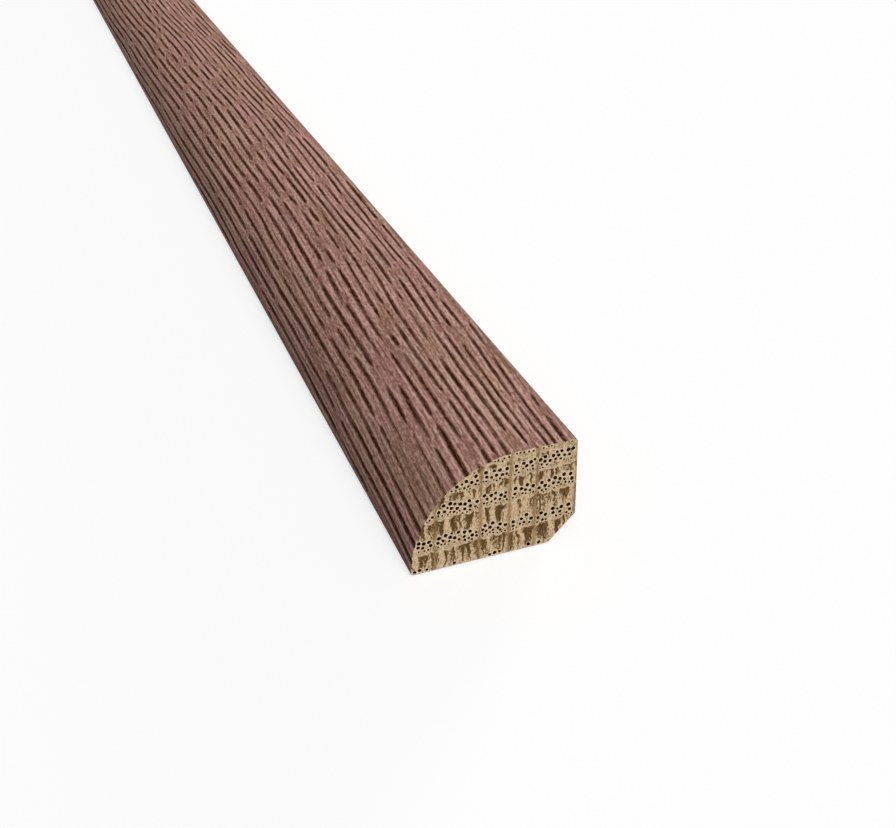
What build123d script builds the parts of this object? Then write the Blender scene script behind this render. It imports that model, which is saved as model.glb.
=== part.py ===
from build123d import *
import os

# Shoe moulding: one length of solid oak trim, milled to a quarter round with a flat toe.
# Millimetres, +Z up. The piece lies on its wide face, as it would on a level floor.
# X runs along the length, Y from the thin edge of the round towards the narrow square face.
# The origin is on the wide face, under the middle of the length and of the width.

# Driving dimensions
LENGTH = 1981.2  # 78 in, a length that prefinished trim is sold in
WIDTH = 19.05  # 3/4 in, the side that goes against the baseboard
THICKNESS = 12.7  # 1/2 in, the side that goes on the floor, and the radius of the round
HEEL_RELIEF = 3.175  # 1/8 in, both legs of the bevel that clears the wall-to-floor corner
ARRIS_RADIUS = 0.3  # sanding on the long corners, while the sawn ends stay sharp


def moulding_section():
    """The section across the length, square to X.

    The round spans the whole thickness, so its radius is the thickness. It leaves the wide
    face at a right angle and runs smoothly into the flat toe, which takes up the rest of the width.
    """
    thin_edge = -WIDTH / 2
    narrow_face = WIDTH / 2
    round_end = thin_edge + THICKNESS

    with BuildSketch(Plane.YZ) as section:
        with BuildLine():
            CenterArc((round_end, 0), THICKNESS, start_angle=90, arc_size=90)
            Polyline(
                (round_end, THICKNESS),
                (narrow_face, THICKNESS),
                (narrow_face, HEEL_RELIEF),
                (narrow_face - HEEL_RELIEF, 0),
                (thin_edge, 0),
            )
        make_face()

        # The nearest point is the smooth join of round and toe, so every corner but that is eased
        corners = section.vertices().sort_by_distance((round_end, THICKNESS))[1:]
        fillet(corners, ARRIS_RADIUS)

    return section.sketch


def shoe_moulding():
    """The section run out to the full length, half of it to each side of the origin."""
    return extrude(moulding_section(), LENGTH / 2, both=True)


os.makedirs("parts", exist_ok=True)
export_step(shoe_moulding(), "parts/shoe_moulding.step")
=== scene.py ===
import math
from collections import namedtuple

import bpy
import numpy as np
from mathutils import Matrix, Vector
from mathutils.geometry import delaunay_2d_cdt


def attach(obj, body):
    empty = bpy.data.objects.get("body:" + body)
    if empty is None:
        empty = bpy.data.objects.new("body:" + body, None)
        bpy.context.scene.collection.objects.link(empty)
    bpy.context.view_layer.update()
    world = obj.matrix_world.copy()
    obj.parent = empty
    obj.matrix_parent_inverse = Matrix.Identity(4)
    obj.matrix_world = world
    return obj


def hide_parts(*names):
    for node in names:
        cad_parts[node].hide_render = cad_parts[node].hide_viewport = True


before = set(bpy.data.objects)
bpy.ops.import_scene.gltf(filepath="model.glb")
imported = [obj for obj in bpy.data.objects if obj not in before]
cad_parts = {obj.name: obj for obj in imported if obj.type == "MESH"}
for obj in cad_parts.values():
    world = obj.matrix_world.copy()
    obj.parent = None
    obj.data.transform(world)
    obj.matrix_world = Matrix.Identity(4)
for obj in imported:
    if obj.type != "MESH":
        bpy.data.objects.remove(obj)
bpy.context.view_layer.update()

# A length of stained oak shoe moulding. Its brushed grain and the pores of its sawn ends are real
# relief in one closed mesh, and the materials add the colour and what is finer than that.
# Shapes are worked out in millimetres and go into the mesh in metres. A place on the long faces is
# given by d, its distance from the near end, and s, its distance round the outline of the section.
MM = 0.001

# Sizes of the section, as in the part's source
LENGTH = 1981.2
WIDTH = 19.05
THICKNESS = 12.7
HEEL_RELIEF = 3.175
ARRIS_RADIUS = 0.3
ROUND_CENTRE = (-WIDTH / 2 + THICKNESS, 0.0)

GRAIN_SEED = 41
NEAR_END_SEED = 5
FAR_END_SEED = 6

rng = np.random.default_rng(GRAIN_SEED)


# The outline of the section

Arc = namedtuple("Arc", "centre radius first last")  # first and last are angles
Line = namedtuple("Line", "start end facing")  # facing is the angle of the outward normal

SAMPLE_STEP = 0.02
FEWEST_SAMPLES = 24


def section_runs():
    """The outline's arcs and lines by name, in order from the wide face up over the round and back."""
    half = WIDTH / 2
    r = ARRIS_RADIUS
    up = math.pi / 2
    slant = -math.pi / 4
    down = -math.pi / 2
    thin_y = ROUND_CENTRE[0] - math.sqrt((THICKNESS - r) ** 2 - r**2)
    thin_angle = math.atan2(r, thin_y - ROUND_CENTRE[0])
    bend = r * math.tan(math.pi / 8)
    upper = (half - r, HEEL_RELIEF + bend)
    lower = (half - HEEL_RELIEF - bend, r)

    def on_bevel(centre):
        return (centre[0] + r * math.cos(slant), centre[1] + r * math.sin(slant))

    return {
        "thin_arris": Arc((thin_y, r), r, 1.5 * math.pi, thin_angle),
        "round": Arc(ROUND_CENTRE, THICKNESS, thin_angle, up),
        "toe": Line((ROUND_CENTRE[0], THICKNESS), (half - r, THICKNESS), up),
        "toe_arris": Arc((half - r, THICKNESS - r), r, up, 0.0),
        "narrow": Line((half, THICKNESS - r), (half, upper[1]), 0.0),
        "upper_arris": Arc(upper, r, 0.0, slant),
        "bevel": Line(on_bevel(upper), on_bevel(lower), slant),
        "lower_arris": Arc(lower, r, slant, down),
        "wide": Line((lower[0], 0.0), (thin_y, 0.0), down),
    }


def run_length(run):
    if isinstance(run, Arc):
        return run.radius * abs(run.last - run.first)
    return math.dist(run.start, run.end)


def run_place(run, t):
    """y, z and the angle of the outward normal at the share t of a run."""
    if isinstance(run, Arc):
        angle = run.first + (run.last - run.first) * t
        y = run.centre[0] + run.radius * math.cos(angle)
        z = run.centre[1] + run.radius * math.sin(angle)
        return y, z, angle
    y = run.start[0] + (run.end[0] - run.start[0]) * t
    z = run.start[1] + (run.end[1] - run.start[1]) * t
    return y, z, run.facing


def sample_outline():
    """Fine samples of s, y, z, normal y and normal z, and the s at which each run starts and ends."""
    samples = []
    starts = {}
    ends = {}
    s = 0.0
    for name, run in section_runs().items():
        length = run_length(run)
        for t in np.linspace(0, 1, max(FEWEST_SAMPLES, int(length / SAMPLE_STEP))):
            y, z, angle = run_place(run, t)
            samples.append((s + length * t, y, z, math.cos(angle), math.sin(angle)))
        starts[name] = s
        s += length
        ends[name] = s
    return np.array(samples).T, starts, ends


SAMPLES, RUN_START, RUN_END = sample_outline()
GIRTH = RUN_END["wide"]
SHOW_START = RUN_START["round"]
SHOW_END = RUN_END["toe"]
NARROW_START = RUN_START["narrow"]


def on_outline(s, depth):
    """Points (y, z) at the distances s round the outline, sunk by depth."""
    y, z, normal_y, normal_z = (np.interp(s, SAMPLES[0], values) for values in SAMPLES[1:])
    size = np.hypot(normal_y, normal_z)
    return y - depth * normal_y / size, z - depth * normal_z / size


# Stations along the length, closer together near the sawn ends

THIRD = LENGTH / 3  # a station lies at each third, where the colour map starts a new strip
NEAR_REACH = 200.0
FAR_REACH = 100.0
FINE_PITCH = 1.6
COARSE_PITCH = 3.5


def evenly(start, end, pitch):
    return np.linspace(start, end, round((end - start) / pitch) + 1)


STATIONS = np.unique(np.concatenate([
    evenly(0, NEAR_REACH, FINE_PITCH),
    evenly(NEAR_REACH, THIRD, COARSE_PITCH),
    evenly(THIRD, 2 * THIRD, COARSE_PITCH),
    evenly(2 * THIRD, LENGTH - FAR_REACH, COARSE_PITCH),
    evenly(LENGTH - FAR_REACH, LENGTH, FINE_PITCH),
]).round(6))


# Grain lines

# How the grain wanders: size, wavelength, change of phase for each millimetre of s, and phase
SWAYS = [(2.5, 463.0, 0.0, 0.0), (0.4, 271.0, 0.0, 0.2), (0.2, 61.0, 0.35, 2.0)]
SWAY_AT_THIN_EDGE = 0.75  # share of the sway there, rising to all of it at the toe

# How far the lines by the thin edge bend down at the near end, and how far that reaches over d and s
DIP = 1.4
DIP_LENGTH = 7.0
DIP_WIDTH = 9.0


def drift(d, s):
    """How far the grain has wandered across the face at the place d, s."""
    sway = sum(
        size * np.sin(2 * np.pi * d / wavelength + s * turn + phase)
        for size, wavelength, turn, phase in SWAYS
    )
    dip = DIP * np.exp(-d / DIP_LENGTH) * np.clip(1 - s / DIP_WIDTH, 0, 1)
    return sway * (SWAY_AT_THIN_EDGE + (1 - SWAY_AT_THIN_EDGE) * s / SHOW_END) - dip


def smooth_noise(pitch):
    """A smooth random curve from 0 to 1 along the stations, with a new value every pitch."""
    knots = np.arange(-pitch, LENGTH + 2 * pitch, pitch)
    values = rng.random(knots.size)
    at = np.searchsorted(knots, STATIONS) - 1
    t = (STATIONS - knots[at]) / pitch
    t = t * t * (3 - 2 * t)
    return values[at] * (1 - t) + values[at + 1] * t


FAINTEST_PEAK = 0.76  # of a whole run
FAINTEST_STRETCH = 0.66  # of a stretch within a run
STRETCH_PITCH = 6.0


def broken_line(mean_run, mean_gap, taper):
    """The strength of one grain line along the stations: runs with tapered ends and gaps between them."""
    strength = np.zeros(STATIONS.size)
    d = -rng.random() * mean_run
    while d < LENGTH:
        # Most runs are near the mean and a few are much longer
        length = mean_run * (0.2 + 1.1 * rng.random() + 0.9 * rng.random() ** 3)
        peak = rng.uniform(FAINTEST_PEAK, 1)
        inside = np.minimum((STATIONS - d) / taper, (d + length - STATIONS) / taper).clip(0, 1)
        strength = np.maximum(strength, peak * inside)
        d += length + mean_gap * (0.3 + rng.exponential(0.7))
    return strength * (FAINTEST_STRETCH + (1 - FAINTEST_STRETCH) * smooth_noise(STRETCH_PITCH))


# Lines of the round and the toe: mean spacing and mean run by s
LINE_PITCH_AT = [0, 5, 11, 17, 26]
LINE_PITCHES = [1.75, 1.64, 1.38, 1.14, 1.07]
LINE_PITCH_SPREAD = 0.12
LINE_RUN_AT = [4, 9, 14]
LINE_RUNS = [50.0, 28.0, 19.0]
LINE_GAP = 1.2
LINE_TAPER = 1.5
LINE_WOBBLES = [(0.24, 12.0), (0.1, 3.6)]  # size and pitch
LINE_OVERHANG = 4.5  # lines are laid this far past both edges, because the grain wanders over them

# Smooth spots without lines: millimetres of length for each one, anywhere and on the toe, least and
# most of half their size, and the part of it over which the lines come back
SPOT_SPACING = 10
TOE_SPOT_SPACING = 11
TOE_SPOTS_FROM = (60, 13)  # d and s
SPOT_HALF_LENGTH = (1.6, 3.4)
SPOT_HALF_WIDTH = (0.6, 1.2)
SPOT_EDGE = [0.75, 1.25]

# A worn place on the round, where the lines are fainter: its d and s, half its size over them, the
# strength that is left at its middle, and the part of its size over which the rest comes back
WORN_PLACE = (7.0, 9.3)
WORN_HALF = (13.0, 3.4)
WORN_STRENGTH = 0.28
WORN_EDGE = [0.4, 1.1]


def smooth_spots():
    """Places (d, s) that the brushing left without lines, with more of them on the toe than on the round."""
    anywhere = range(int(LENGTH / SPOT_SPACING))
    on_toe = range(int(LENGTH / TOE_SPOT_SPACING))
    spots = [(rng.uniform(0, LENGTH), rng.uniform(SHOW_START, SHOW_END)) for _ in anywhere]
    spots += [
        (rng.uniform(TOE_SPOTS_FROM[0], LENGTH), rng.uniform(TOE_SPOTS_FROM[1], SHOW_END)) for _ in on_toe
    ]
    return spots


def show_tracks():
    """Places and strengths of the grain lines of the round and the toe, at every station."""
    bases = [-LINE_OVERHANG]
    while bases[-1] < SHOW_END + LINE_OVERHANG:
        pitch = np.interp(bases[-1], LINE_PITCH_AT, LINE_PITCHES)
        bases.append(bases[-1] + pitch * rng.uniform(1 - LINE_PITCH_SPREAD, 1 + LINE_PITCH_SPREAD))
    places = []
    strengths = []
    for base in bases:
        wobble = sum(size * (smooth_noise(pitch) - 0.5) for size, pitch in LINE_WOBBLES)
        places.append(base + drift(STATIONS, base) + wobble)
        run = np.interp(base, LINE_RUN_AT, LINE_RUNS)
        strengths.append(broken_line(run, LINE_GAP, LINE_TAPER))
    places = np.array(places)
    strengths = np.array(strengths)

    for d, s in smooth_spots():
        along = (STATIONS - d) / rng.uniform(*SPOT_HALF_LENGTH)
        across = (places - s - drift(STATIONS, s) + drift(d, s)) / rng.uniform(*SPOT_HALF_WIDTH)
        strengths *= np.interp(np.hypot(along, across), SPOT_EDGE, [0.0, 1.0])

    along = (STATIONS - WORN_PLACE[0]) / WORN_HALF[0]
    across = (places - WORN_PLACE[1]) / WORN_HALF[1]
    strengths *= np.interp(np.hypot(along, across), WORN_EDGE, [WORN_STRENGTH, 1.0])
    return places, strengths


# Open pores of the bare faces, in lines that are shifted and sway by a share of their spacing
BARE_PORE_RUN = 16.0
BARE_PORE_TAPER = 3.0
BARE_PORE_STRENGTH = 0.8
BARE_PORE_SHIFT = 0.3
BARE_PORE_SWAY = 0.28
BARE_PORE_WAVELENGTH = 290.0


def bare_tracks(name, pitch, cover):
    """Places and strengths of the open pores on a bare face. The cover is the open share of a line."""
    gap = BARE_PORE_RUN * (1 - cover) / cover
    places = []
    strengths = []
    for base in np.arange(RUN_START[name] + pitch / 2, RUN_END[name] - pitch / 4, pitch):
        base = base + pitch * BARE_PORE_SHIFT * (rng.random() - 0.5)
        wave = np.sin(2 * np.pi * STATIONS / BARE_PORE_WAVELENGTH + base * 0.2)
        places.append(base + BARE_PORE_SWAY * pitch * wave)
        strengths.append(broken_line(BARE_PORE_RUN, gap, BARE_PORE_TAPER) * BARE_PORE_STRENGTH)
    return np.array(places), np.array(strengths)


# A column is one point of the outline at a station. Its id, by which stations are joined, is a face
# or an arris, a number along it, and a part of a grain line. Its cut is 1 at the bottom of the deepest
# line and its lip, the strength of the highlight painted there, is 1 at the edges of that line.
Column = namedtuple("Column", "id s depth cut lip")
FIRST_LIP, GROOVE, LAST_LIP, RIDGE = range(4)


class Face:
    """One long face of the moulding: the grain lines on it and how wide and deep they are cut."""

    MARGIN = 0.14  # kept clear of lines along both edges
    FAINTEST = 0.03  # a line weaker than this isn't cut
    OPEN_SIDE = 9.0  # room beyond the first and the last line
    WIDTHS_AT = [4, 18]  # s of the two half widths
    MOST_OF_GAP = 0.45  # half a line takes no more of the gap beside it
    THINNEST = 0.5  # share of the width that the weakest line has
    FIRST_LIP_SHARE = 0.85  # the highlight painted on the lip on the thin edge's side is weaker
    CUT_POWER = 0.6  # below 1, so that weak lines still show
    RIDGE_REACH = 0.4  # how far the painted highlight reaches from a lip

    def __init__(self, name, start, end, tracks, half_widths, depth, ridges):
        self.name = name
        self.start = start
        self.end = end
        self.places, self.strengths = tracks
        self.half_widths = half_widths
        self.depth = depth
        self.ridges = ridges

    def columns(self, i):
        """Columns of the face at station i, in order of s."""
        here = self.places[:, i]
        strength = self.strengths[:, i]
        gaps = np.diff(here, prepend=here[0] - self.OPEN_SIDE, append=here[-1] + self.OPEN_SIDE)
        room = self.MOST_OF_GAP * np.minimum(gaps[:-1], gaps[1:])
        widest = np.interp(here, self.WIDTHS_AT, self.half_widths)
        halves = np.minimum(widest, room) * (self.THINNEST + (1 - self.THINNEST) * strength)
        lowest = self.start + self.MARGIN
        highest = self.end - self.MARGIN
        found = []
        for k, (s, cut, half) in enumerate(zip(here, strength, halves)):
            if cut > self.FAINTEST and lowest < s - half and s + half < highest:
                first_lip = self.FIRST_LIP_SHARE * cut
                found.append(Column((self.name, k, FIRST_LIP), s - half, 0.0, 0.0, first_lip))
                found.append(Column((self.name, k, GROOVE), s, self.depth * cut, cut**self.CUT_POWER, 0.0))
                found.append(Column((self.name, k, LAST_LIP), s + half, 0.0, 0.0, cut))
            elif lowest < s < highest:
                found.append(Column((self.name, k, GROOVE), s, 0.0, 0.0, 0.0))
            if self.ridges and k + 1 < here.size:
                middle = (s + here[k + 1]) / 2
                if lowest < middle < highest:
                    reach = gaps[k + 1] / 2 - min(half, halves[k + 1])
                    lip = min(cut, strength[k + 1]) * max(0.0, 1 - reach / self.RIDGE_REACH)
                    found.append(Column((self.name, k, RIDGE), middle, 0.0, 0.0, lip))
        return found


SHOW_HALF_WIDTHS = (0.64, 0.48)
SHOW_DEPTH = 0.12
BARE_DEPTH = 0.06


def bare_face(name, pitch, cover, half_width):
    """A face with open pores: the spacing of their lines, the open share of a line, half a pore's width."""
    tracks = bare_tracks(name, pitch, cover)
    half_widths = (half_width, half_width)
    return Face(name, RUN_START[name], RUN_END[name], tracks, half_widths, BARE_DEPTH, ridges=False)


FACES = [
    Face("show", SHOW_START, SHOW_END, show_tracks(), SHOW_HALF_WIDTHS, SHOW_DEPTH, ridges=True),
    bare_face("narrow", pitch=0.9, cover=0.24, half_width=0.13),
    bare_face("bevel", pitch=1.1, cover=0.24, half_width=0.13),
    bare_face("wide", pitch=1.05, cover=0.28, half_width=0.14),
]
BARE_FACES = [face.name for face in FACES[1:]]


# Points and polygons of the whole mesh, with the values that the materials read there

LONG, SAWN = range(2)  # kinds of polygon, and the order of their materials

points = []
sharp_points = []  # per point: True at the edge of a pore on the bare faces
point_values = {
    "grain": [],  # d, and s without the drift of the grain
    "cut": [],  # 1 at the bottom of the deepest grain line
    "lip": [],  # 1 along the edges of the deepest grain line, where a highlight is painted
    "stain": [],  # 1 on the faces that are stained, falling to 0 on the bare ones
    "rim": [],  # 1 at the edge of a pore of the sawn ends, where a pale rim with a painted highlight goes
}
polygons = []
polygon_kinds = []
polygon_pits = []  # 1 where shade is painted fully, on the floor of a large pore, less on its walls and in a small one, 0 elsewhere
corner_maps = []  # per polygon: the places of its corners on the colour map


def add_point(place, grain, cut=0.0, lip=0.0, stain=0.0, rim=0.0, sharp=False):
    """Adds a point and returns its number."""
    points.append(place)
    sharp_points.append(sharp)
    values = {"grain": (*grain, 0.0), "cut": cut, "lip": lip, "stain": stain, "rim": rim}
    for name, value in values.items():
        point_values[name].append(value)
    return len(points) - 1


def add_polygon(corners, corner_map, kind, pit=0.0):
    polygons.append(corners)
    corner_maps.append(corner_map)
    polygon_kinds.append(kind)
    polygon_pits.append(pit)


# The colour map: three strips for the thirds of the length, and the two sawn ends beside each other

MAP_SIZE = 1024
MAP_EDGE = 4
STRIP_HEIGHT = 296
STRIP_EDGE = 2
STRIP_AT = [0, NARROW_START, RUN_START["wide"], GIRTH]  # s
STRIP_ROWS = [0, 166, 236, 292]
END_SCALE = 9.8  # for each millimetre
END_PITCH = 200


def long_map(d, s, strip):
    """Place on the colour map of a point of the long faces."""
    x = MAP_EDGE + (d - strip * THIRD) / THIRD * (MAP_SIZE - 2 * MAP_EDGE)
    y = STRIP_EDGE + np.interp(s, STRIP_AT, STRIP_ROWS)
    return x / MAP_SIZE, (y + strip * STRIP_HEIGHT) / MAP_SIZE


def end_map(y, z, end):
    """Place on the colour map of a point of a sawn end."""
    across = MAP_EDGE + (y + WIDTH / 2) * END_SCALE + end * END_PITCH
    height = 3 * STRIP_HEIGHT + MAP_EDGE + z * END_SCALE
    return across / MAP_SIZE, height / MAP_SIZE


# The long faces, station by station

STAIN_SPILL = 2.4  # how far the stain reaches past the arrises

RowPoint = namedtuple("RowPoint", "id point s")


def arris_columns(name, count):
    """Fixed columns round one eased corner of the outline."""
    places = np.linspace(RUN_START[name], RUN_END[name], count)
    return [Column((name, 0, j), s, 0.0, 0.0, 0.0) for j, s in enumerate(places)]


# Each arris comes before the face of the same place in the list of faces
ARRISES = [
    arris_columns("thin_arris", 5),
    arris_columns("toe_arris", 5),
    arris_columns("upper_arris", 4),
    arris_columns("lower_arris", 4),
]


def stain_at(s):
    """1 on the round and the toe, 0.5 at the far side of their arrises and 0 where the spill ends."""
    stops = [0, SHOW_START, SHOW_END, NARROW_START, NARROW_START + STAIN_SPILL, GIRTH - STAIN_SPILL, GIRTH]
    return np.interp(s, stops, [0.5, 1, 1, 0.5, 0, 0, 0.5])


def station_row(i):
    """Adds the points of station i and returns them in order, with the first again at the end."""
    columns = []
    for arris, face in zip(ARRISES, FACES):
        columns += arris + face.columns(i)
    d = STATIONS[i]
    s = np.array([column.s for column in columns])
    y, z = on_outline(s, np.array([column.depth for column in columns]))
    across_grain = s - np.where(s < NARROW_START, drift(d, s), 0.0)
    stain = stain_at(s)
    row = []
    for j, column in enumerate(columns):
        face, _, part = column.id
        point = add_point(
            (LENGTH / 2 - d, y[j], z[j]),
            (d, across_grain[j]),
            column.cut,
            column.lip,
            stain[j],
            sharp=face in BARE_FACES and part != GROOVE,
        )
        row.append(RowPoint(column.id, point, s[j]))
    return row + [RowPoint("end", row[0].point, GIRTH)]


def join_rows(a, b, d_a, d_b):
    """Polygons between two stations. A line that is cut at only one of them starts or ends there."""
    ids_a = {corner.id for corner in a}
    ids_b = {corner.id for corner in b}
    strip = min(2, int((d_a + d_b) / 2 / THIRD))
    p = 0
    q = 0
    while a[p].id != "end":
        next_a = a[p + 1]
        next_b = b[q + 1]
        if next_b.id not in ids_a:
            corners = [(a[p], d_a), (next_b, d_b), (b[q], d_b)]
            q += 1
        elif next_a.id not in ids_b:
            corners = [(a[p], d_a), (next_a, d_a), (b[q], d_b)]
            p += 1
        else:
            # Four corners, from an end of the shorter diagonal, because a quad is split from its first corner
            corners = [(a[p], d_a), (next_a, d_a), (next_b, d_b), (b[q], d_b)]
            if abs(next_a.s - b[q].s) < abs(a[p].s - next_b.s):
                corners = corners[1:] + corners[:1]
            p += 1
            q += 1
        corner_map = [long_map(d, corner.s, strip) for corner, d in corners]
        add_polygon([corner.point for corner, _ in corners], corner_map, LONG)


rows = [station_row(i) for i in range(STATIONS.size)]
for i in range(STATIONS.size - 1):
    join_rows(rows[i], rows[i + 1], STATIONS[i], STATIONS[i + 1])


# The sawn ends

NEAR, FAR = range(2)

# Growth rings: height of each band of large pores at mid-width, and its rise towards the narrow face
BANDS = [(-0.24, 0.0), (3.72, 0.02), (7.6, 0.035), (10.5, 0.07), (12.75, 0.075)]
MEAN_RISE = 0.04

# Rays: y at the top of the section and at the bottom
RAYS = [(-6.24, -6.95), (-1.31, -1.81), (2.05, 1.48), (4.98, 4.62), (9.47, 9.40)]

# Pores: radius by height over the middle of a band, least and most share of it, room round a pore
PORE_HEIGHTS = [-0.85, -0.45, -0.1, 0.55]
PORE_RADII = [0.115, 0.165, 0.205, 0.22]
PORE_SIZES = (0.8, 1.16)
PORE_TRIES = 900
PORE_GAP = 0.05
PORE_TO_EDGE = 0.08
PORE_TO_RAY = 0.1

# How a band of pores waves up and down, and how two waves across it thin out its pores
BAND_WAVE = 0.14
BAND_WAVELENGTH = 4.3
LARGEST_PHASE = 4.0
CLUMP_PITCH = 1.9
SECOND_CLUMP = 0.4
SECOND_CLUMP_TURN = 3.7
LEAST_CLUMP = -1.0

# Shape of a pore: sides by radius, how oval and how ragged it is (least and most), the size of its
# floor as a share, least and most depth, and how much shade is painted in it by radius
LARGE_PORE = 0.16
LARGE_SIDES = 9
SMALL_SIDES = 6
PORE_SQUEEZE = (0.86, 1.06)
PORE_RAGGEDNESS = (0.93, 1.07)
PORE_FLOOR_SHARE = 0.66
PORE_DEPTHS = (0.2, 0.38)
DARKNESS_AT = [0.1, 0.22]
DARKNESS = [0.7, 1.0]
# Share of the pore's painted shade that its walls take
WALL_DARKNESS = 0.9

# Filler points of a sawn end: a ring round each pore, where its pale rim with its painted highlight ends, and
# a loose grid
RIM_SIDES = 7
RIM_REACH = 1.62  # in radii
FILLER_START = (-WIDTH / 2 + 0.5, 0.45)
FILLER_PITCH = 0.75
FILLER_SPREAD = 0.2
FILLER_GAP = 0.1
FILLER_TO_PORE = 1.3  # in radii
FILLER_TO_EDGE = 0.22


def ray_y(ray, z):
    top, bottom = ray
    return bottom + (top - bottom) * z / THICKNESS


def inside_section(y, z, margin):
    """True if a point of a sawn end lies at least margin inside the outline."""
    centre = ROUND_CENTRE[0]
    in_round = y > centre or math.hypot(y - centre, z) < THICKNESS - margin
    in_bevel = y - (WIDTH / 2 - HEEL_RELIEF) < z - margin * math.sqrt(2)
    return in_round and in_bevel and margin < z < THICKNESS - margin and y < WIDTH / 2 - margin


def place_pores(draw):
    """Places and radii of the pores of one end: a ragged band in each growth ring, parted by the rays."""
    pores = []
    for height, rise in BANDS:
        phase = draw.random() * LARGEST_PHASE
        tries = []
        for _ in range(PORE_TRIES):
            y = WIDTH * (draw.random() - 0.5)
            lift = PORE_HEIGHTS[0] + (PORE_HEIGHTS[-1] - PORE_HEIGHTS[0]) * draw.random()
            radius = np.interp(lift, PORE_HEIGHTS, PORE_RADII) * draw.uniform(*PORE_SIZES)
            wave = BAND_WAVE * math.sin(2 * math.pi * (y - phase) / BAND_WAVELENGTH)
            clump = math.sin(2 * math.pi * (y + phase) / CLUMP_PITCH)
            clump += SECOND_CLUMP * math.sin(SECOND_CLUMP_TURN * y)
            if clump > LEAST_CLUMP:
                tries.append((radius, y, height + rise * y + wave + lift))
        for radius, y, z in sorted(tries, reverse=True):
            if not inside_section(y, z, radius + PORE_TO_EDGE):
                continue
            if any(abs(y - ray_y(ray, z)) < radius + PORE_TO_RAY for ray in RAYS):
                continue
            if any(math.hypot(y - p[0], z - p[1]) < radius + p[2] + PORE_GAP for p in pores):
                continue
            pores.append((y, z, radius))
    return pores


def pore_outline(pore, draw):
    """Points round the uneven edge of one pore."""
    y, z, radius = pore
    sides = LARGE_SIDES if radius > LARGE_PORE else SMALL_SIDES
    turn = draw.random() * 7
    squeeze = draw.uniform(*PORE_SQUEEZE)
    lean = draw.random() * math.pi
    outline = []
    for k in range(sides):
        angle = turn + 2 * math.pi * k / sides
        oval = 1 + (squeeze - 1) * math.cos(angle - lean) ** 2
        reach = radius * draw.uniform(*PORE_RAGGEDNESS) * oval
        outline.append((y + reach * math.cos(angle), z + reach * math.sin(angle)))
    return outline


def filler_points(edge, pores, draw):
    """Points on the flat of a sawn end that end the pale rims, with their painted highlight, and even out the
    triangles.
    """
    tries = []
    for y, z, radius in pores:
        for k in range(RIM_SIDES):
            angle = 2 * math.pi * (k + 0.5) / RIM_SIDES
            reach = RIM_REACH * radius
            tries.append((y + reach * math.cos(angle), z + reach * math.sin(angle)))
    for y in np.arange(FILLER_START[0], WIDTH / 2, FILLER_PITCH):
        for z in np.arange(FILLER_START[1], THICKNESS, FILLER_PITCH):
            loose_y = y + FILLER_SPREAD * (draw.random() - 0.5)
            tries.append((loose_y, z + FILLER_SPREAD * (draw.random() - 0.5)))
    edge = np.array(edge)
    kept = []
    for y, z in tries:
        if not inside_section(y, z, FILLER_GAP):
            continue
        if any(math.hypot(y - p[0], z - p[1]) < FILLER_TO_PORE * p[2] for p in pores):
            continue
        if kept and np.hypot(*(np.array(kept) - (y, z)).T).min() < FILLER_GAP:
            continue
        if np.hypot(*(edge - (y, z)).T).min() < FILLER_TO_EDGE:
            continue
        kept.append((y, z))
    return kept


def ring(first, count):
    """Edges that join the points from first on into a ring."""
    return [(first + k, first + (k + 1) % count) for k in range(count)]


def sink_pore(pore, rim, end, deep):
    """Walls and floor of one pore, from the points round its rim, with the shade painted on each."""
    y, z, radius = pore
    # Shade painted into the pore, more in a larger one
    painted_shade = np.interp(radius, DARKNESS_AT, DARKNESS)
    inwards = -deep if end == NEAR else deep
    bottom = []
    for x, rim_y, rim_z in [points[i] for i in rim]:
        bottom_y = y + PORE_FLOOR_SHARE * (rim_y - y)
        bottom_z = z + PORE_FLOOR_SHARE * (rim_z - z)
        bottom.append(add_point((x + inwards, bottom_y, bottom_z), (0.0, rim_y)))
    sides = len(rim)
    pieces = [([rim[k], bottom[k], bottom[m], rim[m]], WALL_DARKNESS * painted_shade) for k, m in ring(0, sides)]
    pieces.append((bottom[::-1], painted_shade))
    for corners, pit in pieces:
        corners = corners[::-1] if end == NEAR else corners
        add_polygon(corners, [end_map(*points[i][1:], end) for i in corners], SAWN, pit)


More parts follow.
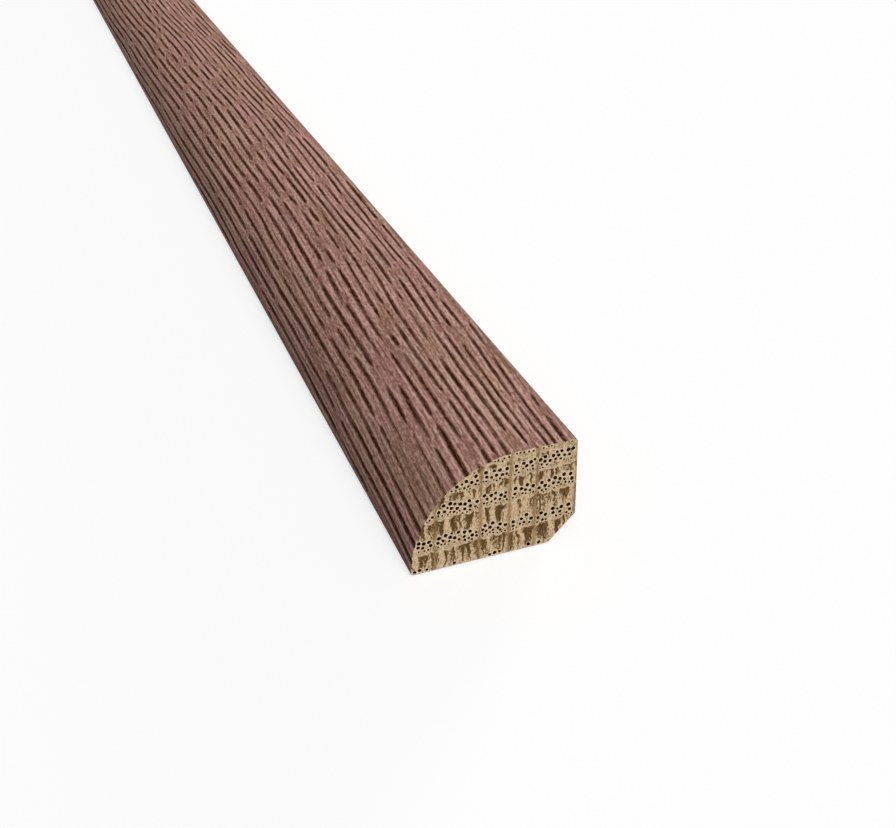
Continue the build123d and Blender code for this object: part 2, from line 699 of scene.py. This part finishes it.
def close_end(row, end, draw):
    """Closes one end with a flat sawn face that has the pores sunk into it."""
    facing = 1 if end == NEAR else -1
    d = 0.0 if end == NEAR else LENGTH
    pores = place_pores(draw)
    edge = [corner.point for corner in row[:-1]]
    flat = [points[i][1:] for i in edge]
    constraints = ring(0, len(edge))
    pore_of = {}  # by place in flat: the number of the pore that it rims
    for number, pore in enumerate(pores):
        outline = pore_outline(pore, draw)
        pore_of.update({len(flat) + k: number for k in range(len(outline))})
        constraints += ring(len(flat), len(outline))
        flat += outline
    flat += filler_points(flat[: len(edge)], pores, draw)

    # No constraints cross, so each vertex of the triangles comes from one of the flat points
    triangulated = delaunay_2d_cdt([Vector(place) for place in flat], constraints, [], 1, 1e-7)
    vertices, triangles, origins = triangulated[0], triangulated[2], triangulated[3]
    sources = [origin[0] for origin in origins]
    numbers = []  # per vertex: its point in the mesh
    rims = [[] for _ in pores]
    for (y, z), source in zip(vertices, sources):
        if source < len(edge):
            numbers.append(edge[source])
            continue
        numbers.append(add_point((facing * LENGTH / 2, y, z), (d, y), rim=float(source in pore_of)))
        if source in pore_of:
            rims[pore_of[source]].append(numbers[-1])

    for triangle in triangles:
        on_pores = {pore_of.get(sources[j]) for j in triangle}
        if len(on_pores) == 1 and on_pores != {None}:
            continue
        (ay, az), (by, bz), (cy, cz) = (vertices[j] for j in triangle)
        turns = ((by - ay) * (cz - az) - (bz - az) * (cy - ay)) * facing
        corners = triangle[::-1] if turns < 0 else triangle
        add_polygon([numbers[j] for j in corners], [end_map(*vertices[j], end) for j in corners], SAWN)

    for pore, rim in zip(pores, rims):
        sink_pore(pore, rim, end, draw.uniform(*PORE_DEPTHS))


close_end(rows[0], NEAR, np.random.default_rng(NEAR_END_SEED))
close_end(rows[-1], FAR, np.random.default_rng(FAR_END_SEED))


# The mesh

mesh = bpy.data.meshes.new("shoe_moulding_grained")
mesh.from_pydata([tuple(c * MM for c in place) for place in points], [], polygons)


def add_attribute(name, kind, domain, values, field):
    attribute = mesh.attributes.new(name, kind, domain)
    attribute.data.foreach_set(field, np.asarray(values, dtype=np.float32).ravel())


for name, values in point_values.items():
    if name == "grain":
        add_attribute(name, "FLOAT_VECTOR", "POINT", values, "vector")
    else:
        add_attribute(name, "FLOAT", "POINT", values, "value")
add_attribute("pit", "FLOAT", "FACE", polygon_pits, "value")
colour_map = mesh.uv_layers.new(name="OFBake")
map_places = [place for corner_map in corner_maps for place in corner_map]
colour_map.data.foreach_set("uv", np.array(map_places, dtype=np.float32).ravel())
mesh.polygons.foreach_set("material_index", np.array(polygon_kinds, dtype=np.int32))
mesh.polygons.foreach_set("use_smooth", np.ones(len(polygons), dtype=bool))

# The sawn ends meet the long faces at sharp edges, and pores have sharp edges on all bare wood
looks_at_edge = {}
for corners, kind, pit in zip(polygons, polygon_kinds, polygon_pits):
    for a, b in zip(corners, corners[1:] + corners[:1]):
        looks_at_edge.setdefault((min(a, b), max(a, b)), set()).add((kind, pit))
for edge in mesh.edges:
    a, b = sorted(edge.vertices)
    edge.use_edge_sharp = len(looks_at_edge[(a, b)]) > 1 or (sharp_points[a] and sharp_points[b])
mesh.update()

moulding = bpy.data.objects.new("shoe_moulding_grained", mesh)
bpy.context.collection.objects.link(moulding)


# Materials

def rgba(colour):
    """A colour socket as it is, and a written colour with its alpha."""
    return colour if isinstance(colour, bpy.types.NodeSocket) else (*colour, 1.0)


class Nodes:
    """Short ways to build the node tree of a material or of the world."""

    def __init__(self, owner):
        owner.use_nodes = True
        self.tree = owner.node_tree
        self.tree.nodes.clear()

    def add(self, kind, inputs=None, **settings):
        node = self.tree.nodes.new(kind)
        for key, value in settings.items():
            setattr(node, key, value)
        for key, value in (inputs or {}).items():
            if isinstance(value, bpy.types.NodeSocket):
                self.tree.links.new(value, node.inputs[key])
            else:
                node.inputs[key].default_value = value
        return node

    def attribute(self, name, output="Fac"):
        return self.add("ShaderNodeAttribute", attribute_name=name).outputs[output]

    def math(self, operation, a, b=0.0, c=0.0):
        return self.add("ShaderNodeMath", {0: a, 1: b, 2: c}, operation=operation).outputs[0]

    def step(self, value, low, high, to_low=0.0, to_high=1.0):
        """Smooth step of the value from low to high."""
        inputs = {"Value": value, "From Min": low, "From Max": high, "To Min": to_low, "To Max": to_high}
        return self.add("ShaderNodeMapRange", inputs, interpolation_type="SMOOTHSTEP").outputs[0]

    def stretched(self, vector, scale, offset=(0.0, 0.0, 0.0)):
        inputs = {"Vector": vector, "Scale": scale, "Location": offset}
        return self.add("ShaderNodeMapping", inputs).outputs[0]

    def noise(self, vector, scale, offset=(0.0, 0.0, 0.0), detail=2.0, roughness=0.5):
        """Noise whose cells are 1 / scale units of the vector on each axis. Offsets keep noises apart."""
        at = self.stretched(vector, scale, offset)
        inputs = {"Vector": at, "Scale": 1.0, "Detail": detail, "Roughness": roughness}
        return self.add("ShaderNodeTexNoise", inputs).outputs[0]

    def ramp(self, value, stops, interpolation="LINEAR"):
        """Colour ramp through (place, grey or colour)."""
        node = self.add("ShaderNodeValToRGB", {0: value})
        node.color_ramp.interpolation = interpolation
        elements = node.color_ramp.elements
        while len(elements) < len(stops):
            elements.new(0.5)
        for element, (place, _) in zip(elements, stops):
            element.position = place
        for element, (_, colour) in zip(elements, stops):
            element.color = rgba(colour if isinstance(colour, tuple) else (colour,) * 3)
        return node.outputs[0]

    def mix(self, factor, a, b):
        """Colour a where the factor is 0, colour b where it is 1."""
        return self.add("ShaderNodeMix", {0: factor, 6: rgba(a), 7: rgba(b)}, data_type="RGBA").outputs[2]

    def bump(self, height, distance, strength):
        inputs = {"Height": height, "Distance": distance, "Strength": strength}
        return self.add("ShaderNodeBump", inputs).outputs[0]

    def seen(self):
        """1 for rays from the camera, straight or by way of gloss or glass, and 0 for the others."""
        path = self.add("ShaderNodeLightPath").outputs
        straight_or_gloss = self.math("MAXIMUM", path["Is Camera Ray"], path["Is Glossy Ray"])
        return self.math("MAXIMUM", straight_or_gloss, path["Is Transmission Ray"])


def wood_shader(n, colour, roughness, normal, specular):
    inputs = {"Base Color": colour, "Roughness": roughness, "Normal": normal, "Specular IOR Level": specular}
    shader = n.add("ShaderNodeBsdfPrincipled", inputs).outputs[0]
    n.add("ShaderNodeOutputMaterial", {0: shader})


# Stain. A list runs from dark to light, as (place on the ramp, colour)
PINK_STAIN = [(0.36, (0.166, 0.073, 0.057)), (0.5, (0.325, 0.159, 0.131)), (0.68, (0.650, 0.396, 0.346))]
TAN_STAIN = [(0.36, (0.154, 0.078, 0.050)), (0.5, (0.306, 0.169, 0.121)), (0.68, (0.622, 0.404, 0.318))]
FAINT_LINE = (0.110, 0.045, 0.030)
LINE_SIDE = (0.102, 0.036, 0.016)
LINE_CORE = (0.026, 0.007, 0.002)

# Bare oak on the long faces
BARE_OAK = [(0.32, (0.330, 0.205, 0.105)), (0.5, (0.520, 0.365, 0.220)), (0.68, (0.640, 0.480, 0.310))]
BARE_PORE = (0.150, 0.085, 0.045)

# Sawn end grain
PALE_END = [(0.34, (0.260, 0.157, 0.067)), (0.43, (0.515, 0.356, 0.200)), (0.56, (0.722, 0.542, 0.348))]
BROWN_END = [(0.34, (0.085, 0.038, 0.009)), (0.48, (0.152, 0.077, 0.025)), (0.64, (0.272, 0.158, 0.067))]
STREAK_CORE = (0.085, 0.044, 0.013)
# A highlight painted along the scalloped hem under each band
BAND_HEM_HIGHLIGHT = (0.750, 0.566, 0.364)
RAY_COLOUR = (0.275, 0.165, 0.070)
# Pale rims round the pores: paler wood, and a highlight painted on their raised fibres
PORE_RIM_AND_HIGHLIGHT = (0.780, 0.592, 0.385)
# Painted shade inside the pores, on their walls and darker on their floors
PORE_WALL_SHADE = (0.090, 0.037, 0.008)
PORE_FLOOR_SHADE = (0.005, 0.0015, 0.0005)


def stain_tint(n, at):
    """From pink at low values to tan at high ones: slow changes, mottling, and the tan worn place."""
    slow = n.noise(at, (0.03, 0.22, 1.0), (5.0, 1.0, 0.0), detail=2.0)
    mottle = n.noise(at, (1.0, 2.4, 1.0), (2.0, 6.0, 0.0), detail=2.0, roughness=0.6)
    tint = n.math("ADD", slow, n.math("MULTIPLY_ADD", mottle, 1.3, -0.65))
    worn_at = n.stretched(at, (1 / WORN_HALF[0], 1 / WORN_HALF[1], 0.0))
    worn_middle = (WORN_PLACE[0] / WORN_HALF[0], WORN_PLACE[1] / WORN_HALF[1], 0.0)
    from_worn = n.add("ShaderNodeVectorMath", {0: worn_at, 1: worn_middle}, operation="DISTANCE")
    tint = n.math("ADD", tint, n.step(from_worn.outputs["Value"], 0.3, 1.1, 0.35, 0.0))
    return n.step(tint, 0.36, 0.68)


def bare_colour(n, at, line):
    """Bare oak with its fibres, and dark pores where the grain lines are."""
    fibre = n.noise(at, (0.02, 1.5, 1.0), (1.0, 3.0, 0.0), detail=5.0, roughness=0.6)
    slow = n.noise(at, (0.006, 0.3, 1.0), (8.0, 3.0, 0.0), detail=2.0)
    tone = n.math("ADD", n.math("MULTIPLY", fibre, 0.65), n.math("MULTIPLY", slow, 0.35))
    dash = n.step(n.noise(at, (0.05, 5.5, 1.0), (2.0, 9.0, 0.0), detail=2.0), 0.62, 0.7)
    pore = n.math("MAXIMUM", n.math("MULTIPLY", dash, 0.65), n.step(line, 0.1, 0.8))
    return n.mix(pore, n.ramp(tone, BARE_OAK), BARE_PORE)


def long_faces_material():
    """Brown satin stain on the round and the toe, bare oak on the other long faces."""
    material = bpy.data.materials.new("stained_oak_face")
    n = Nodes(material)
    at = n.attribute("grain", "Vector")

    # Grain lines, ragged and broken along their length
    ragged = n.noise(at, (0.8, 3.4, 1.0), detail=3.0, roughness=0.75)
    breaks = n.step(n.noise(at, (0.14, 0.75, 1.0), (9.0, 5.0, 0.0), detail=2.0), 0.3, 0.56, 0.68, 1.0)
    force = n.math("MULTIPLY", n.attribute("cut"), n.math("MULTIPLY_ADD", ragged, 3.2, -0.6))
    core = n.step(force, 0.3, 0.95)
    line = n.math("MULTIPLY", n.step(force, 0.02, 0.62), breaks)

    # The ridges between them: fibres, speckle, a highlight painted along the lips, and faint lines
    fibre = n.noise(at, (0.07, 2.6, 1.0), (3.0, 7.0, 0.0), detail=4.0, roughness=0.62)
    speckle = n.noise(at, (1.1, 3.6, 1.0), (11.0, 2.0, 0.0), detail=2.0, roughness=0.6)
    lip_highlight = n.math("MULTIPLY", n.attribute("lip"), n.step(ragged, 0.30, 0.60, 0.06, 0.26))
    tone = n.math("ADD", n.math("MULTIPLY", fibre, 0.45), n.math("MULTIPLY", speckle, 0.55))
    tone = n.math("ADD", tone, lip_highlight)
    ridge = n.mix(stain_tint(n, at), n.ramp(tone, PINK_STAIN), n.ramp(tone, TAN_STAIN))
    faint = n.step(n.noise(at, (0.06, 2.1, 1.0), (7.0, 3.0, 0.0), detail=2.0), 0.54, 0.68)
    ridge = n.mix(n.math("MULTIPLY", faint, 0.45), ridge, FAINT_LINE)
    stained = n.mix(line, ridge, n.mix(core, LINE_SIDE, LINE_CORE))

    # Stain that ran over the arrises, with a ragged edge
    spill = n.noise(at, (0.05, 0.9, 1.0), (4.0, 4.0, 0.0), detail=4.0, roughness=0.65)
    stain_share = n.step(n.math("ADD", n.attribute("stain"), n.math("MULTIPLY", spill, 0.5)), 0.66, 0.78)
    colour = n.mix(stain_share, bare_colour(n, at, line), stained)

    roughness = n.step(n.math("ADD", line, n.math("MULTIPLY", speckle, 0.5)), 0.1, 1.2, 0.66, 0.85)
    relief = n.math("ADD", n.math("MULTIPLY", fibre, 0.7), n.math("MULTIPLY", speckle, 0.3))
    wood_shader(n, colour, roughness, n.bump(relief, 0.00006, 0.7), specular=0.02)
    return material


RING_SPAN = 14.0  # height that the ramps over the growth rings cover
RAY_HALF = 0.36
RAY_SHARE = 0.85
RAY_MARGIN = 0.5  # past both sides of the section, on the ramp over its width


def by_ring(n, height, *steps):
    """A ramp over the height that takes each (offset, value) at every band of pores."""
    stops = sorted(((band + offset) / RING_SPAN, value) for band, _ in BANDS for offset, value in steps)
    stops = [(share, value) for share, value in stops if 0 <= share <= 1]
    return n.ramp(n.math("DIVIDE", height, RING_SPAN), stops)


def streaks(n, at, y, z, height):
    """The force of the dark streaks that hang from each band and taper downwards, different in each ring."""
    below = by_ring(n, height, (0.5, 0.0), (-0.9, 1.0))
    ring_stops = [(band / RING_SPAN, 0.2 * k) for k, (band, _) in enumerate(BANDS) if band > 0]
    ring_number = n.ramp(n.math("DIVIDE", height, RING_SPAN), [(0.0, 0.0)] + ring_stops, "CONSTANT")
    bent = n.noise(at, (0.02, 0.5, 0.75), (4.0, 0.0, 5.0), detail=2.0)
    swayed = n.math("ADD", y, n.math("MULTIPLY_ADD", bent, 1.3, -0.65))
    across = {0: n.math("MULTIPLY", ring_number, 40.0), 1: swayed, 2: n.math("MULTIPLY", z, 0.1)}
    upright = n.add("ShaderNodeCombineXYZ", across).outputs[0]
    streak = n.noise(upright, (1.0, 1.75, 1.0), (0.0, 3.0, 0.0), detail=1.5, roughness=0.5)
    ragged = n.noise(at, (0.02, 4.2, 2.6), (1.0, 0.0, 0.0), detail=4.0, roughness=0.75)
    pulse = n.math("SINE", n.math("MULTIPLY_ADD", swayed, 3.5, n.math("MULTIPLY", ring_number, 23.0)))
    force = n.math("MULTIPLY_ADD", pulse, 0.06, n.math("MULTIPLY_ADD", below, 0.17, streak))
    return n.math("ADD", force, n.math("MULTIPLY_ADD", ragged, 0.6, -0.3))


def rays(n, at, y, z):
    """The rays, as soft upright lines that lean as they do on average."""
    lean = sum((top - bottom) / THICKNESS for top, bottom in RAYS) / len(RAYS)
    upright = n.math("SUBTRACT", y, n.math("MULTIPLY", n.math("SUBTRACT", z, THICKNESS / 2), lean))
    upright = n.math("ADD", upright, n.math("MULTIPLY_ADD", n.noise(at, (0.02, 0.3, 0.5)), 0.3, -0.15))
    span = WIDTH + 2 * RAY_MARGIN
    stops = [(0.0, 0.0)]
    for top, bottom in RAYS:
        middle = ((top + bottom) / 2 + WIDTH / 2 + RAY_MARGIN) / span
        half = RAY_HALF / span
        stops += [(middle - half, 0.0), (middle, RAY_SHARE), (middle + half, 0.0)]
    return n.ramp(n.math("DIVIDE", n.math("ADD", upright, WIDTH / 2 + RAY_MARGIN), span), stops)


def end_material():
    """Sawn end grain: pale oak with dark streaks under each band of pores, rays, and open pores."""
    material = bpy.data.materials.new("sawn_oak_end")
    n = Nodes(material)
    place = n.add("ShaderNodeTexCoord").outputs["Object"]
    at = n.stretched(place, (1 / MM, 1 / MM, 1 / MM))
    _, y, z = n.add("ShaderNodeSeparateXYZ", {0: at}).outputs

    # Height over the wide face, followed along the growth rings
    height = n.math("SUBTRACT", z, n.math("MULTIPLY", y, MEAN_RISE))
    wave = n.noise(at, (0.01, 0.5, 0.2), detail=1.0)
    height = n.math("ADD", height, n.math("MULTIPLY_ADD", wave, 0.7, -0.35))
    scallop = n.noise(at, (0.02, 1.3, 0.3), (6.0, 2.0, 0.0), detail=1.5)
    scalloped = n.math("ADD", height, n.math("MULTIPLY_ADD", scallop, 1.2, -0.6))

    # Streaks, weak within the bands
    force = streaks(n, at, y, z, height)
    dark = n.step(force, 0.54, 0.65)
    core = n.step(force, 0.62, 0.75, 0.0, 0.6)
    in_band = by_ring(n, scalloped, (-1.1, 0.0), (-0.95, 1.0), (0.4, 1.0), (0.6, 0.0))
    outside = n.math("MULTIPLY_ADD", in_band, -0.75, 1.0)
    fine = n.noise(at, (0.02, 4.6, 3.4), (7.0, 0.0, 2.0), detail=3.0, roughness=0.7)
    colour = n.mix(n.math("MULTIPLY", dark, outside), n.ramp(fine, PALE_END), n.ramp(fine, BROWN_END))
    colour = n.mix(n.math("MULTIPLY", core, outside), colour, STREAK_CORE)

    # A highlight painted along a scalloped hem under each band, and the rays
    hem_highlight = by_ring(n, scalloped, (-1.2, 0.0), (-1.02, 1.0), (-0.84, 0.0))
    colour = n.mix(n.math("MULTIPLY", hem_highlight, 0.85), colour, BAND_HEM_HIGHLIGHT)
    colour = n.mix(rays(n, at, y, z), colour, RAY_COLOUR)

    # Pale rims round the pores, partly paler wood and partly a painted highlight, and painted shade inside
    # them
    lace = n.step(n.noise(at, (0.02, 2.6, 2.6), (3.0, 8.0, 1.0), detail=2.0), 0.36, 0.56, 0.3, 1.0)
    rim_and_highlight_share = n.math("MULTIPLY", n.step(n.attribute("rim"), 0.0, 0.5), lace)
    colour = n.mix(rim_and_highlight_share, colour, PORE_RIM_AND_HIGHLIGHT)
    # Painted shade in the pores, darker on their floors
    pit = n.attribute("pit")
    pore_shade_colour = n.mix(n.step(pit, 0.5, 1.0), PORE_WALL_SHADE, PORE_FLOOR_SHADE)
    colour = n.mix(n.step(pit, 0.0, 0.4), colour, pore_shade_colour)

    relief = n.math("ADD", fine, n.math("MULTIPLY", dark, -0.6))
    wood_shader(n, colour, 0.85, n.bump(relief, 0.00005, 0.8), specular=0.03)
    return material


for material in (long_faces_material(), end_material()):
    mesh.materials.append(material)

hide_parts("shoe_moulding")
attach(moulding, "root")


# Floor, light and camera

FLOOR_SIZE = 60  # metres
FLOOR_GAP = 0.0002  # under the piece, so that the two never share a plane
FLOOR_COLOUR = 0.5
FLOOR_GLOW = 0.555  # makes up the rest of the white, so that the shadow stays soft
FLOOR_BOUNCE = 0.06  # its colour in the light that it sends back on to the piece
AMBIENT = 0.17

# Lamps: the direction towards each, its level and its width in degrees
KEY = ((0.77, -0.05, 0.63), 0.99, 50)
BACK = ((-0.68, 0.73, 0.10), 0.62, 20)

# The camera at the photograph's angle: where it stands from the near end, how it is turned, its lens
CAMERA_PLACE = (98.695, -39.925, 81.897)
AZIMUTH = 70.458
ELEVATION = 31.008
ROLL = -1.423
FOCAL_LENGTH = 49.55
SENSOR_WIDTH = 36.0
CLIP_START = 0.005
CLIP_END = 200.0


def floor_material():
    """White with a soft shadow to the camera and in reflections, and dark in the light that it sends back."""
    material = bpy.data.materials.new("studio_floor")
    n = Nodes(material)
    white = n.add("ShaderNodeBsdfDiffuse", {"Color": rgba((FLOOR_COLOUR,) * 3)}).outputs[0]
    glow = n.add("ShaderNodeEmission", {"Strength": FLOOR_GLOW}).outputs[0]
    lit = n.add("ShaderNodeAddShader", {0: white, 1: glow}).outputs[0]
    dark = n.add("ShaderNodeBsdfDiffuse", {"Color": rgba((FLOOR_BOUNCE,) * 3)}).outputs[0]
    both = n.add("ShaderNodeMixShader", {0: n.seen(), 1: dark, 2: lit}).outputs[0]
    n.add("ShaderNodeOutputMaterial", {0: both})
    return material


def studio_world():
    """White to the camera and in reflections, and otherwise a plain dim light from all sides."""
    world = bpy.data.worlds.new("studio")
    n = Nodes(world)
    strength = n.math("MULTIPLY_ADD", n.seen(), 1 - AMBIENT, AMBIENT)
    white = {"Color": rgba((1.0, 1.0, 1.0)), "Strength": strength}
    n.add("ShaderNodeOutputWorld", {0: n.add("ShaderNodeBackground", white).outputs[0]})
    return world


def add_sun(name, towards, level, angle):
    """A wide soft sun. The level is what it adds to a white surface that faces it."""
    lamp = bpy.data.lights.new(name, "SUN")
    lamp.energy = level * math.pi
    lamp.angle = math.radians(angle)
    holder = bpy.data.objects.new(name, lamp)
    holder.rotation_euler = Vector(towards).to_track_quat("Z", "Y").to_euler()
    bpy.context.collection.objects.link(holder)


def add_camera():
    lens = bpy.data.cameras.new("camera")
    lens.sensor_fit = "HORIZONTAL"
    lens.sensor_width = SENSOR_WIDTH
    lens.lens = FOCAL_LENGTH
    lens.clip_start = CLIP_START
    lens.clip_end = CLIP_END
    camera = bpy.data.objects.new("camera", lens)
    camera.matrix_world = (
        Matrix.Translation((Vector((LENGTH / 2, 0, 0)) + Vector(CAMERA_PLACE)) * MM)
        @ Matrix.Rotation(math.radians(AZIMUTH), 4, "Z")
        @ Matrix.Rotation(math.radians(90 - ELEVATION), 4, "X")
        @ Matrix.Rotation(math.radians(ROLL), 4, "Z")
    )
    bpy.context.collection.objects.link(camera)
    return camera


bpy.ops.mesh.primitive_plane_add(size=FLOOR_SIZE, location=(0, 0, -FLOOR_GAP))
floor = bpy.context.active_object
floor.name = "studio_floor"
floor.data.materials.append(floor_material())

bpy.context.scene.world = studio_world()
add_sun("key", *KEY)
add_sun("back", *BACK)
bpy.context.scene.camera = add_camera()
bpy.context.scene.view_settings.view_transform = "Standard"
